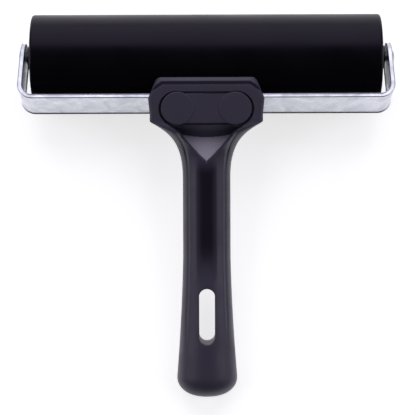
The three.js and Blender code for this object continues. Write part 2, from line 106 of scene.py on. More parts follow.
@dataclass(frozen=True)
class Pose:
    """The directions of a sub-assembly: a turn about X through the axle's centre."""

    centre: np.ndarray
    turn: float

    def place(self, points: np.ndarray) -> np.ndarray:
        """Turns points about X, then moves them to the axle's centre.

        Args:
            points: Places in the sub-assembly's directions, in millimetres, one a row.

        Returns:
            The same places in the frame's directions, in millimetres.
        """
        cosine, sine = math.cos(self.turn), math.sin(self.turn)
        x, y, z = points.T
        return np.column_stack([x, y * cosine - z * sine, y * sine + z * cosine]) + self.centre

    def unplace(self, points: np.ndarray) -> np.ndarray:
        """Does the opposite of place.

        Args:
            points: Places in the frame's directions, in millimetres, one a row.

        Returns:
            The same places in the sub-assembly's directions.
        """
        back = Pose(np.zeros(3), -self.turn)
        return back.place(points - self.centre)

    def extent(self, node: str) -> tuple[np.ndarray, np.ndarray]:
        """Measures a CAD node in these directions.

        Args:
            node: The CAD node's name.

        Returns:
            Its lowest and its highest coordinates, in millimetres.
        """
        mesh = frame["nodes"][node].data
        points = np.empty(3 * len(mesh.vertices))
        mesh.vertices.foreach_get("co", points)
        own = self.unplace(points.reshape(-1, 3) / METRES)
        return own.min(axis=0), own.max(axis=0)


# ---- Surfaces ----


@dataclass
class Surface:
    """A closed surface: its points in millimetres, its four-sided faces and its many-sided caps."""

    points: np.ndarray
    quads: np.ndarray
    caps: list[list[int]]


def smooth_step(value: np.ndarray, start: float, end: float) -> np.ndarray:
    """Rises from 0 at start to 1 at end along three squares less two cubes of the way covered.

    Args:
        value: Where to work it out.
        start: Where the rise begins; it may lie above end.
        end: Where the rise is complete.

    Returns:
        The share risen, from 0 to 1.
    """
    share = np.clip((value - start) / (end - start), 0.0, 1.0)
    return share * share * (3 - 2 * share)


def ring_stack(rings: np.ndarray, capped: bool = True) -> Surface:
    """Joins closed rings of points, each to the next, into a closed surface.

    Point i of ring j meets point i of ring j + 1. The first and last rings are capped, or else they
    meet each other, as on a ring-shaped piece.

    Args:
        rings: Points by ring, place on the ring, and X, Y and Z.
        capped: Whether the first and last rings get caps.

    Returns:
        The closed surface.
    """
    count, size = rings.shape[:2]
    along = np.arange(count - 1 if capped else count)[:, None] * size
    after = (along + size) % (count * size)
    around = np.arange(size)[None, :]
    beside = (around + 1) % size
    quads = np.stack([along + around, along + beside, after + beside, after + around], axis=-1)
    caps = []
    if capped:
        last = (count - 1) * size
        caps = [list(range(size))[::-1], list(range(last, last + size))]
    return Surface(rings.reshape(-1, 3), quads.reshape(-1, 4), caps)


def eased(corners: list[Pair], radius: float, closed: bool, steps: int = 4) -> np.ndarray:
    """Replaces each corner of an outline by a short curve that leaves both its sides smoothly.

    The curve is a quadratic one from a point on one side, leaning to the corner, to a point on the
    other side. It starts radius from the corner, or at EASE_LIMIT of a shorter side.

    Args:
        corners: The outline's corners.
        radius: How far from each corner the curve starts.
        closed: Whether the last corner meets the first.
        steps: How many stretches each curve has.

    Returns:
        The eased outline's points.
    """
    outline = np.array(corners, float)
    before, following = np.roll(outline, 1, axis=0), np.roll(outline, -1, axis=0)
    back, ahead = before - outline, following - outline
    back_length = np.linalg.norm(back, axis=1, keepdims=True)
    ahead_length = np.linalg.norm(ahead, axis=1, keepdims=True)
    start = outline + back / back_length * np.minimum(radius, EASE_LIMIT * back_length)
    end = outline + ahead / ahead_length * np.minimum(radius, EASE_LIMIT * ahead_length)
    share = np.linspace(0, 1, steps + 1)[None, :, None]
    curve = (1 - share) ** 2 * start[:, None] + 2 * share * (1 - share) * outline[:, None]
    curve = curve + share**2 * end[:, None]
    if closed:
        return curve.reshape(-1, 2)
    return np.vstack([outline[:1], curve[1:-1].reshape(-1, 2), outline[-1:]])


def turned(
    profile: np.ndarray | list[Pair],
    facets: int,
    axis: str = "x",
    capped: bool = True,
    shift: Triple = (0.0, 0.0, 0.0),
) -> Surface:
    """Turns a profile about an axis: the point (a, r) goes to a along it, and r away from it all round.

    Args:
        profile: Pairs of place along the axis and radius.
        facets: How many points each ring has.
        axis: Which axis it is turned about, x, y or z.
        capped: Whether its ends are capped; a ring-shaped piece has a profile that closes on itself.
        shift: How far the turned shape is then moved.

    Returns:
        The closed surface.
    """
    profile = np.asarray(profile, float)
    angle = np.linspace(0, 2 * math.pi, facets, endpoint=False)
    along = np.repeat(profile[:, :1], facets, axis=1)
    across = profile[:, 1:] * np.cos(angle)
    up = profile[:, 1:] * np.sin(angle)
    order = {"x": [along, across, up], "y": [up, along, across], "z": [across, up, along]}[axis]
    return ring_stack(np.stack(order, axis=-1) + shift, capped)


def capsule(half_width: float, y_from: float, y_to: float, grown: float, count: int) -> np.ndarray:
    """The outline of a round-ended slot along Y: two half circles and the straight sides between them.

    Args:
        half_width: Half its width.
        y_from: Its end nearer the butt.
        y_to: Its other end.
        grown: How far the outline is pushed out all round.
        count: How many points each half circle has.

    Returns:
        The outline's points in X and Y.
    """
    angle = np.linspace(0, math.pi, count)
    radius = half_width + grown
    far = np.column_stack([radius * np.cos(angle), y_to - half_width + radius * np.sin(angle)])
    near = np.column_stack([-radius * np.cos(angle), y_from + half_width - radius * np.sin(angle)])
    return np.vstack([far, near])


def block(low: tuple[float, ...], high: tuple[float, ...], bevel: float, steps: int = 4) -> Surface:
    """A slab with eased upright edges and rounded rims, as rings of its outline drawn in at the rims.

    Args:
        low: Its lowest corner.
        high: Its highest corner.
        bevel: The rims' rounding.
        steps: How many rings each rim has.

    Returns:
        The closed surface.
    """
    angle = np.linspace(0, math.pi / 2, steps)
    inset = np.concatenate([bevel * (1 - np.sin(angle)), bevel * (1 - np.cos(angle))])
    height = np.concatenate([low[2] + bevel * (1 - np.cos(angle)), high[2] - bevel * (1 - np.sin(angle))])
    rings = []
    for draw, z in zip(inset, height):
        left, right, near, far = low[0] + draw, high[0] - draw, low[1] + draw, high[1] - draw
        outline = eased([(left, near), (right, near), (right, far), (left, far)], bevel, closed=True)
        rings.append(np.column_stack([outline, np.full(len(outline), z)]))
    return ring_stack(np.array(rings))


def crossways(outline: np.ndarray, half_length: float) -> Surface:
    """Carries an outline in Y and Z along X, from minus to plus its half length.

    Args:
        outline: The outline's points in Y and Z.
        half_length: Half the length along X.

    Returns:
        The closed surface.
    """
    ends = [np.column_stack([np.full(len(outline), x), outline]) for x in (-half_length, half_length)]
    return ring_stack(np.array(ends))


# ---- Pieces ----


def make_object(name: str, surface: Surface, pose: Pose) -> Object:
    """Puts a surface into a Blender mesh, at its place, in metres, with its faces outwards.

    Args:
        name: The object's name.
        surface: The closed surface, in the pose's directions.
        pose: Where it goes.

    Returns:
        The new object.
    """
    mesh = bpy.data.meshes.new(name)
    points = pose.place(surface.points) * METRES
    mesh.from_pydata(points.tolist(), [], surface.quads.tolist() + surface.caps)
    work = bmesh.new()
    work.from_mesh(mesh)
    bmesh.ops.recalc_face_normals(work, faces=work.faces)
    work.to_mesh(mesh)
    work.free()
    piece = bpy.data.objects.new(name, mesh)
    bpy.context.scene.collection.objects.link(piece)
    return piece


def combine(piece: Object, tools: list[Object], operation: str) -> None:
    """Joins closed tools to a closed piece or cuts them out of it, and leaves one plain mesh.

    Args:
        piece: The piece that is changed.
        tools: The closed shapes, which are used up.
        operation: UNION or DIFFERENCE.
    """
    for tool in tools:
        modifier = piece.modifiers.new(tool.name, "BOOLEAN")
        modifier.operation = operation
        modifier.solver = "EXACT"
        modifier.object = tool
    bpy.context.view_layer.update()
    evaluated = piece.evaluated_get(bpy.context.evaluated_depsgraph_get())
    mesh = bpy.data.meshes.new_from_object(evaluated)
    piece.modifiers.clear()
    spent = [piece.data] + [tool.data for tool in tools]
    piece.data = mesh
    for tool in tools:
        bpy.data.objects.remove(tool)
    for old in spent:
        bpy.data.meshes.remove(old)
    mesh.name = piece.name


def read_points(piece: Object, pose: Pose) -> np.ndarray:
    """Reads a piece's points.

    Args:
        piece: The piece.
        pose: Whose directions they are given in.

    Returns:
        The points in those directions, in millimetres, one a row.
    """
    points = np.empty(3 * len(piece.data.vertices))
    piece.data.vertices.foreach_get("co", points)
    return pose.unplace(points.reshape(-1, 3) / METRES)


def write_share(piece: Object, name: str, share: np.ndarray) -> None:
    """Stores a share from 0 to 1 for each of a piece's points, for its material to read."""
    attribute = piece.data.attributes.new(name, "FLOAT", "POINT")
    attribute.data.foreach_set("value", share.astype(np.float32))


def install(piece: Object, material: Material, role: Role) -> None:
    """Shades and dresses a finished piece, and says which body and node it has.

    Args:
        piece: The finished piece.
        material: Its only material.
        role: What it stands for.
    """
    mesh = piece.data
    mesh.materials.clear()
    mesh.materials.append(material)
    mesh.shade_smooth()
    mesh.set_sharp_from_angle(angle=math.radians(role.crease))
    area, corners = np.empty(len(mesh.polygons)), np.empty(len(mesh.polygons), np.int32)
    mesh.polygons.foreach_get("area", area)
    mesh.polygons.foreach_get("loop_total", corners)
    mesh.polygons.foreach_set("use_smooth", (corners <= 4) | (area < FLAT_AREA * METRES**2))
    even = piece.modifiers.new("even_shading", "WEIGHTED_NORMAL")
    even.keep_sharp = True
    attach(piece, role.body.value)
    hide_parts(role.node)
    LOG.info("%s: %d faces for %s", piece.name, len(mesh.polygons), role.node)


# ---- Finishes ----


def linear(colour: str) -> tuple[float, float, float, float]:
    """Turns an sRGB hex colour into a linear one, by the standard's straight foot and 2.4 power curve.

    Args:
        colour: Six hex digits after a hash sign.

    Returns:
        Linear red, green and blue, and an alpha of 1.
    """
    parts = [int(colour[i : i + 2], 16) / 255 for i in (1, 3, 5)]
    return (*[p / 12.92 if p <= 0.04045 else ((p + 0.055) / 1.055) ** 2.4 for p in parts], 1.0)


def per_metre(size_mm: float) -> float:
    """A pattern's scale in repeats a metre, from the size of one repeat in millimetres."""
    return 1 / (size_mm * METRES)


def add_node(tree: NodeTree, kind: str, settings: dict | None = None, **inputs: object) -> Node:
    """Adds a node to a tree, with its settings, values and links.

    Args:
        tree: The material's node tree.
        kind: The node's type name, without its first words, ShaderNode.
        settings: The node's own properties by name, if any.
        **inputs: What each input gets: a value, a socket, or a node, whose first output in use is
            linked. Underscores stand for spaces, and a number at the end picks an input by its place.

    Returns:
        The new node.
    """
    node = tree.nodes.new(f"ShaderNode{kind}")
    for key, value in (settings or {}).items():
        setattr(node, key, value)
    for key, value in inputs.items():
        place = key.rpartition("_")[2]
        if place.isdigit():
            socket = node.inputs[int(place)]
        else:
            socket = next(item for item in node.inputs if item.enabled and item.name == key.replace("_", " "))
        if isinstance(value, Node):
            value = next(output for output in value.outputs if output.enabled)
        if isinstance(value, NodeSocket):
            tree.links.new(value, socket)
        else:
            socket.default_value = value
    return node


@dataclass(frozen=True)
class Finish:
    """A named material; each kind of finish draws its own nodes."""

    name: str

    def draw(self, tree: NodeTree, place: NodeSocket) -> Node:
        """Draws the finish's nodes.

        Args:
            tree: The material's node tree.
            place: Places on the piece, in metres.

        Returns:
            The shader node.
        """
        raise NotImplementedError

    def material(self) -> Material:
        """Makes the finish's material.

        Returns:
            The material, with its node tree.
        """
        material = bpy.data.materials.new(self.name)
        material.use_nodes = True
        tree = material.node_tree
        tree.nodes.clear()
        place = add_node(tree, "TexCoord").outputs["Object"]
        add_node(tree, "OutputMaterial", Surface=self.draw(tree, place))
        return material


@dataclass(frozen=True)
class MouldedPlastic(Finish):
    """Black ABS, injection moulded in a spark-eroded tool: a satin skin with a fine even pebble grain.

    The grip's channel was polished in the tool, so there the skin is darker and glossier. Handling
    leaves it unevenly rubbed, with a few hair scratches along its length. The thumb scoop's ramp is
    painted much lighter: a painted highlight for the light that the ramp catches.
    """

    name: str = "injection_moulded_black_abs"
    colour: str = "#403c4b"
    rubbed: str = "#454251"
    polished: str = "#1d1925"
    # painted highlight: the much lighter colour that the thumb scoop's ramp is painted, for the light it catches
    ramp_painted_highlight: str = "#9d99a8"
    roughness: Pair = (0.36, 0.50)
    polished_roughness: float = 0.30
    scratch_roughness: float = 0.08  # how much rougher the skin is in a scratch
    grain_mm: float = 0.45  # spark-eroded grain, drawn coarser than its real 0.1 mm so that it shows
    cloud_mm: float = 14.0
    scratch_mm: float = 0.8

    def draw(self, tree: NodeTree, place: NodeSocket) -> Node:
        """Mixes the rubbed skin with the polished channel and a painted highlight on the thumb scoop's ramp, over
        a pebble grain.

        Args:
            tree: The material's node tree.
            place: Places on the piece, in metres.

        Returns:
            The shader node.
        """
        clouds = add_node(tree, "TexNoise", Vector=place, Scale=per_metre(self.cloud_mm), Detail=5.0)
        grain = add_node(tree, "TexNoise", Vector=place, Scale=per_metre(self.grain_mm), Detail=2.0)
        drawn_out = add_node(tree, "Mapping", Vector=place, Scale=(1.0, 0.04, 1.0), Rotation=(0.0, 0.0, 0.12))
        scratches = add_node(tree, "TexNoise", Vector=drawn_out, Scale=per_metre(self.scratch_mm))
        fine = add_node(tree, "MapRange", Value=scratches, From_Min=0.66, From_Max=0.74)
        polish = add_node(tree, "Attribute", {"attribute_name": "polish"}).outputs["Fac"]
        # painted highlight mask: 1 on the thumb scoop's ramp, which is painted lighter for the light it catches
        thumb = add_node(tree, "Attribute", {"attribute_name": "ramp_highlight_mask"}).outputs["Fac"]
        patches = add_node(tree, "MapRange", Value=clouds, From_Min=0.35, From_Max=0.68)
        skin = add_node(tree, "Mix", COLOURS, Factor=patches, A=linear(self.colour), B=linear(self.rubbed))
        channel = add_node(tree, "Mix", COLOURS, Factor=polish, A=skin, B=linear(self.polished))
        ramp_painted_highlight = add_node(tree, "Mix", COLOURS, Factor=thumb, A=channel, B=linear(self.ramp_painted_highlight))
        smooth, rough = self.roughness
        worn = add_node(tree, "MapRange", Value=clouds, To_Min=rough, To_Max=smooth, **MIDDLE)
        scratched = add_node(tree, "Math", MULTIPLY_ADD, in_0=fine, in_1=self.scratch_roughness, in_2=worn)
        matt = add_node(tree, "Mix", Factor=polish, A=scratched, B=self.polished_roughness)
        bump = add_node(tree, "Bump", Strength=0.35, Distance=0.05 * METRES, Height=grain)
        shine = {"IOR": 1.5, "Specular_IOR_Level": 0.4}
        return add_node(tree, "BsdfPrincipled", Base_Color=ramp_painted_highlight, Roughness=matt, Normal=bump, **shine)


@dataclass(frozen=True)
class GroundRubber(Finish):
    """Black nitrile rubber, ground true on a lathe: matt, near black, with faint rings round the roller.

    Dried ink and handling leave soft patches that are a little smoother than the rest.
    """

    name: str = "lathe_ground_nitrile_rubber"
    colour: str = "#060508"
    dusty: str = "#0b0a0d"
    bloom: str = "#d6cdf0"
    shine: float = 0.2  # the bloom of wax on the rubber keeps its reflections weak and bluish
    roughness: Pair = (0.30, 0.40)
    ring_mm: float = 0.5  # grinding marks, drawn coarser than their real 0.15 mm so that they show
    patch_mm: float = 22.0

    def draw(self, tree: NodeTree, place: NodeSocket) -> Node:
        """Mixes clean and dusty rubber, with noise drawn out round the roller for the grinding marks.

        Args:
            tree: The material's node tree.
            place: Places on the piece, in metres.

        Returns:
            The shader node.
        """
        ringed = add_node(tree, "Mapping", Vector=place, Scale=(1.0, 0.02, 0.02))
        rings = add_node(tree, "TexNoise", Vector=ringed, Scale=per_metre(self.ring_mm), Detail=3.0)
        patches = add_node(tree, "TexNoise", Vector=place, Scale=per_metre(self.patch_mm), Detail=6.0)
        colour = add_node(tree, "Mix", COLOURS, Factor=patches, A=linear(self.colour), B=linear(self.dusty))
        smooth, rough = self.roughness
        worn = add_node(tree, "MapRange", Value=patches, To_Min=smooth, To_Max=rough, **MIDDLE)
        bump = add_node(tree, "Bump", Strength=0.25, Distance=0.03 * METRES, Height=rings)
        wax = {"IOR": 1.52, "Specular_IOR_Level": self.shine, "Specular_Tint": linear(self.bloom)}
        return add_node(tree, "BsdfPrincipled", Base_Color=colour, Roughness=worn, Normal=bump, **wax)


@dataclass(frozen=True)
class PlatedSteel(Finish):
    """Cold-rolled or drawn steel with bright zinc plating: pale and bluish, in cloudy crystal patches.

    The plating is mottled with fine crystals and has thin lines along the way the steel was rolled.
    """

    colour: str
    tinted: str
    corner: str
    roughness: Pair
    patch_mm: float = 7.0
    line_mm: float = 0.6  # rolling lines, drawn coarser than their real 0.1 mm so that they show
    crystals_a_patch: float = 4.0
    crystal_share: float = 0.25
    line_share: float = 0.5

    def draw(self, tree: NodeTree, place: NodeSocket) -> Node:
        """Mixes two tones by cloudy patches, wears the corners and breaks up the shine with crystals.

        Args:
            tree: The material's node tree.
            place: Places on the piece, in metres.

        Returns:
            The shader node.
        """
        drawn = add_node(tree, "Mapping", Vector=place, Scale=(0.06, 1.0, 1.0))
        lines = add_node(tree, "TexNoise", Vector=drawn, Scale=per_metre(self.line_mm), Detail=4.0)
        cloudy = {"Detail": 8.0, "Roughness": 0.62, "Distortion": 0.6}
        patches = add_node(tree, "TexNoise", Vector=place, Scale=per_metre(self.patch_mm), **cloudy)
        crystal_mm = self.patch_mm / self.crystals_a_patch
        crystals = add_node(tree, "TexVoronoi", Vector=place, Scale=per_metre(crystal_mm))
        spread = add_node(tree, "MapRange", Value=patches, From_Min=0.36, From_Max=0.66)
        colour = add_node(tree, "Mix", COLOURS, Factor=spread, A=linear(self.colour), B=linear(self.tinted))
        wear = add_node(tree, "Attribute", {"attribute_name": "corner_wear"}).outputs["Fac"]
        worn = add_node(tree, "Mix", COLOURS, Factor=wear, A=colour, B=linear(self.corner))
        mixed = add_node(tree, "Math", MULTIPLY_ADD, in_0=crystals, in_1=self.crystal_share, in_2=patches)
        smooth, rough = self.roughness
        spans = {"From_Min": 0.4, "From_Max": 0.85, "To_Min": smooth, "To_Max": rough}
        matt = add_node(tree, "MapRange", Value=mixed, **spans)
        height = add_node(tree, "Math", MULTIPLY_ADD, in_0=lines, in_1=self.line_share, in_2=patches)
        bump = add_node(tree, "Bump", Strength=0.3, Distance=0.05 * METRES, Height=height)
        return add_node(tree, "BsdfPrincipled", Base_Color=worn, Metallic=1.0, Roughness=matt, Normal=bump)


@dataclass(frozen=True)
class SpeckledSolid(Finish):
    """A plain moulded or extruded plastic with a fine speckle, such as nylon or a filled ABS tube."""

    colour: str
    speck: str
    roughness: float
    speck_mm: float
    unevenness: float = 0.08

    def draw(self, tree: NodeTree, place: NodeSocket) -> Node:
        """Lets one fine noise mix the two tones, vary the shine and raise the specks.

        Args:
            tree: The material's node tree.
            place: Places on the piece, in metres.

        Returns:
            The shader node.
        """
        specks = add_node(tree, "TexNoise", Vector=place, Scale=per_metre(self.speck_mm), Detail=4.0)
        colour = add_node(tree, "Mix", COLOURS, Factor=specks, A=linear(self.colour), B=linear(self.speck))
        low, high = self.roughness - self.unevenness, self.roughness + self.unevenness
        matt = add_node(tree, "MapRange", Value=specks, To_Min=low, To_Max=high)
        bump = add_node(tree, "Bump", Strength=0.3, Distance=0.04 * METRES, Height=specks)
        return add_node(tree, "BsdfPrincipled", Base_Color=colour, Roughness=matt, Normal=bump)


@dataclass(frozen=True)
class LitBoard(Finish):
    """A matt white board that is lit from beneath, as on a light table, with faintly uneven paint."""

    name: str = "matt_white_board"
    colour: str = "#f4f4f3"
    glow: float = 0.75
    paint_mm: float = 60.0

    def draw(self, tree: NodeTree, place: NodeSocket) -> Node:
        """Gives one colour to both the paint and its glow, and varies the shine a little.

        Args:
            tree: The material's node tree.
            place: Places on the piece, in metres.

        Returns:
            The shader node.
        """
        paint = add_node(tree, "TexNoise", Vector=place, Scale=per_metre(self.paint_mm))
        matt = add_node(tree, "MapRange", Value=paint, To_Min=0.75, To_Max=0.85)
        lit = {"Emission_Color": linear(self.colour), "Emission_Strength": self.glow}
        return add_node(tree, "BsdfPrincipled", Base_Color=linear(self.colour), Roughness=matt, **lit)


# ---- Roller and axle ----


@dataclass
class Roller:
    """The rubber sleeve on its core, with an end bush and a loose spacer washer at each end."""

    pose: Pose
    edge_radius: float = 1.3
    glue_gap: float = 0.02
    running_gap: float = 0.06
    hub_step: float = 0.4  # how far a bush's hub stays inside its washer's rim
    facets: int = 200
    small_facets: int = 96
    core_chamfer: float = 0.4
    small_chamfer: float = 0.2

    def ring_piece(self, name: str, corners: list[Pair], ease: float, facets: int) -> Object:
        """A ring-shaped piece turned from a closed profile with eased corners.

        Args:
            name: The piece's name.
            corners: Pairs of place along X and radius.
            ease: How far the corners are eased.
            facets: How many points it has all round.

        Returns:
            The new object.
        """
        profile = eased(corners, ease, closed=True, steps=ROUND_STEPS)
        return make_object(name, turned(profile, facets, capped=False), self.pose)

    def radii(self, node: str) -> Triple:
        """The two ends along X and the outer radius of a round CAD node."""
        low, high = self.pose.extent(node)
        return low[0], high[0], high[2]

    def build(self, rubber: Material, tube: Material, nylon: Material) -> None:
        """Builds and dresses the sleeve, the core, the bushes and the washers.

        Args:
            rubber: The sleeve's material.
            tube: The core's material.
            nylon: The bushes' and washers' material.
        """
        left, right, outer = self.radii("rubber_sleeve")
        core = self.radii("roller_core")[2]
        wall = core + self.glue_gap
        corners = [(left, wall), (left, outer), (right, outer), (right, wall)]
        sleeve = self.ring_piece("ground_rubber_sleeve", corners, self.edge_radius, self.facets)
        install(sleeve, rubber, Role(Body.ROLLER, "rubber_sleeve", "black_rubber"))
        plug = self.radii("right_bush")[2]
        corners = [(left, plug), (left, core), (right, core), (right, plug)]
        tube_piece = self.ring_piece("roller_tube", corners, self.core_chamfer, self.facets)
        install(tube_piece, tube, Role(Body.ROLLER, "roller_core", "core_plastic"))
        self.build_end(End.LEFT, left, nylon)
        self.build_end(End.RIGHT, right, nylon)

    def build_end(self, end: End, face: float, nylon: Material) -> None:
        """Builds one end's bush and washer.

        Args:
            end: Which end.
            face: Where the roller ends along X.
            nylon: Their material.
        """
        low, high, plug = self.radii(f"{end.side}_bush")
        inner, hub_end = (low, high) if end is End.RIGHT else (high, low)
        washer_low, washer_high, rim = self.radii(f"{end.side}_spacer_washer")
        hub = rim - self.hub_step
        bore = Axle.shaft_radius + self.running_gap
        corners = [(inner, bore), (inner, plug), (face, plug), (face, hub), (hub_end, hub), (hub_end, bore)]
        bush = self.ring_piece(f"nylon_{end.side}_bush", corners, self.small_chamfer, self.small_facets)
        install(bush, nylon, Role(Body.ROLLER, f"{end.side}_bush", "bush_nylon"))
        corners = [(washer_low, bore), (washer_low, rim), (washer_high, rim), (washer_high, bore)]
        washer = self.ring_piece(f"nylon_{end.side}_washer", corners, self.small_chamfer, self.small_facets)
        body = Body.RIGHT_WASHER if end is End.RIGHT else Body.LEFT_WASHER
        install(washer, nylon, Role(body, f"{end.side}_spacer_washer", "bush_nylon"))


@dataclass
class Axle:
    """The axle rod: a flat head on the left, a peened dome on the right, and a shoulder inside each arm."""

    pose: Pose
    shaft_radius: float = 3.0
    spigot_radius: float = 2.3
    head_height: float = 0.8
    head_flat_radius: float = 2.5
    rivet_radius: float = 3.2
    rivet_height: float = 1.5
    shoulder_inset: float = 0.45
    edge_ease: float = 0.15
    facets: int = 96
    dome_steps: int = 8
    dome_turn: float = math.pi / 2 - 0.02  # stops just short of the dome's middle

    def build(self, steel: Material) -> None:
        """Builds and dresses the rod: a profile turned about X, with the rivet's dome as a quarter ellipse.

        Args:
            steel: Its material.
        """
        low, high = self.pose.extent("axle_rod")
        left, head = low[0], high[2]
        under_head = left + self.head_height
        seat = high[0] - self.rivet_height
        shoulder = self.pose.extent("right_spacer_washer")[1][0] + self.shoulder_inset
        corners = [
            (left, NEAR_AXIS),
            (left, self.head_flat_radius),
            (left + self.head_height / 2, head),
            (under_head, head),
            (under_head, self.spigot_radius),
            (-shoulder, self.spigot_radius),
            (-shoulder, self.shaft_radius),
            (shoulder, self.shaft_radius),
            (shoulder, self.spigot_radius),
            (seat, self.spigot_radius),
        ]
        angle = np.linspace(0, self.dome_turn, self.dome_steps)
        dome = np.column_stack([seat + self.rivet_height * np.sin(angle), self.rivet_radius * np.cos(angle)])
        profile = np.vstack([eased(corners, self.edge_ease, closed=False), dome])
        rod = make_object("riveted_axle", turned(profile, self.facets), self.pose)
        install(rod, steel, Role(Body.FRAME, "axle_rod", "axle_steel"))


# ---- Strip frame and screws ----


@dataclass
class StripFrame:
    """One steel strip bent to a U: a crossbar and two arms that lean inwards, with rounded tips."""

    pose: Pose
    thickness: float = 2.0
    edge_radius: float = 0.35
    lean: float = math.radians(3.1)
    bend_inner_radius: float = 4.5
    tip_radius: float = 7.0
    spigot_hole: float = 2.6
    screw_hole: float = 2.05
    screw_head: float = 3.5
    sink_from: float = 1.8  # how deep in the crossbar the countersink begins
    sink_full: float = 0.3
    bar_steps: int = 90
    bend_steps: int = 20
    arm_steps: int = 36
    arm_crowding: float = 0.7  # a power below one brings the stations together at the arm's tip
    drill_facets: int = 64
    sink_facets: int = 48
    wear_gain: float = 4.0

    def centre_line(self) -> tuple[np.ndarray, np.ndarray]:
        """The strip's middle line seen edge on, from the left tip to the right one.

        The right half is a straight stretch along X, a quarter turn and the lean about the bend's
        centre, and a straight stretch that leans inwards. The left half mirrors it.

        Returns:
            The line's points in X and Y, and the unit normals that point out of the U.
        """
        low, high = self.pose.extent("strip_frame")
        radius = self.bend_inner_radius + self.thickness / 2
        bend_y = low[1] + self.thickness + self.bend_inner_radius
        bend_x = high[0] - radius - self.thickness / 2
        turn = np.linspace(-math.pi / 2, self.lean, self.bend_steps)
        bend_normal = np.column_stack([np.cos(turn), np.sin(turn)])
        bend = radius * bend_normal + [bend_x, bend_y]
        reach = (high[1] - bend[-1, 1]) * np.linspace(0, 1, self.arm_steps + 1)[1:] ** self.arm_crowding
        arm = np.column_stack([bend[-1, 0] - reach * math.tan(self.lean), bend[-1, 1] + reach])
        arm_normal = np.repeat(bend_normal[-1:], self.arm_steps, axis=0)
        bar_x = np.linspace(0, bend_x, self.bar_steps // 2)[:-1]
        bar = np.column_stack([bar_x, np.full(len(bar_x), low[1] + self.thickness / 2)])
        bar_normal = np.repeat([[0.0, -1.0]], len(bar_x), axis=0)
        half = np.vstack([bar, bend, arm])
        normal = np.vstack([bar_normal, bend_normal, arm_normal])
        flip = np.array([[-1.0, 1.0]])
        return np.vstack([half[:0:-1] * flip, half]), np.vstack([normal[:0:-1] * flip, normal])

    def half_height(self, y: np.ndarray) -> np.ndarray:
        """Half the strip's width along its line, drawn in at the tips by the corners' quarter circles.

        Args:
            y: Places along an arm.

        Returns:
            The half widths there.
        """
        _, high = self.pose.extent("strip_frame")
        left_over = np.clip(self.tip_radius - (high[1] - y), 0, self.tip_radius)
        return high[2] - self.tip_radius + np.sqrt(self.tip_radius**2 - left_over**2)

    def surface(self) -> Surface:
        """The strip: a rounded oblong section carried along the middle line.

        Returns:
            The closed surface in the bracket's directions.
        """
        line, normal = self.centre_line()
        half = self.thickness / 2
        angle = np.linspace(0, math.pi / 2, ROUND_STEPS)
        corner = self.edge_radius * (1 - np.cos(angle))
        across = np.concatenate([half - corner[::-1], -half + corner, -half + corner[::-1], half - corner])
        drop = self.edge_radius * (1 - np.sin(angle))
        rise = np.concatenate([drop[::-1], drop, drop[::-1], drop])
        sign = np.repeat([1.0, 1.0, -1.0, -1.0], len(angle))
        x = line[:, :1] + normal[:, :1] * across
        y = line[:, 1:] + normal[:, 1:] * across
        z = sign * (self.half_height(line[:, 1])[:, None] - rise)
        return ring_stack(np.stack([x, y, z], axis=-1))

    def mark_corners(self, strip: Object) -> None:
        """Writes how worn each point is: 1 on the strip's four rounded corners, 0 on its flat faces.

        Args:
            strip: The strip.
        """
        points = read_points(strip, self.pose)
        line, normal = self.centre_line()
        away = points[:, None, :2] - line[None]
        nearest = np.argmin((away**2).sum(axis=2), axis=1)
        off = np.abs((away[np.arange(len(points)), nearest] * normal[nearest]).sum(axis=1))
        rim = self.half_height(points[:, 1]) - np.abs(points[:, 2])
        into_face = np.clip((off - (self.thickness / 2 - self.edge_radius)) / self.edge_radius, 0, 1)
        into_edge = np.clip((self.edge_radius - rim) / self.edge_radius, 0, 1)
        write_share(strip, "corner_wear", np.minimum(1, self.wear_gain * into_face * into_edge))

    def build(self, zinc: Material) -> None:
        """Builds and dresses the strip, with its axle holes and countersunk screw holes.

        Args:
            zinc: Its material.
        """
        strip = make_object("bent_strip", self.surface(), self.pose)
        low, high = self.pose.extent("strip_frame")
        reach = high[0] + self.thickness
        drill = turned([(-reach, self.spigot_hole), (reach, self.spigot_hole)], self.drill_facets)
        tools = [make_object("axle_drill", drill, self.pose)]
        face = low[1] + self.thickness
        sink = [
            (low[1] - OVERSHOOT, self.screw_hole),
            (face - self.sink_from, self.screw_hole),
            (face - self.sink_full, self.screw_head),
            (face + OVERSHOOT, self.screw_head),
        ]
        for end in End:
            shape = turned(sink, self.sink_facets, axis="y", shift=(end.value * HALF_PAIR, 0.0, 0.0))
            tools.append(make_object(f"{end.side}_countersink", shape, self.pose))
        combine(strip, tools, "DIFFERENCE")
        self.mark_corners(strip)
        install(strip, zinc, Role(Body.FRAME, "strip_frame", "zinc_plated_strip"))


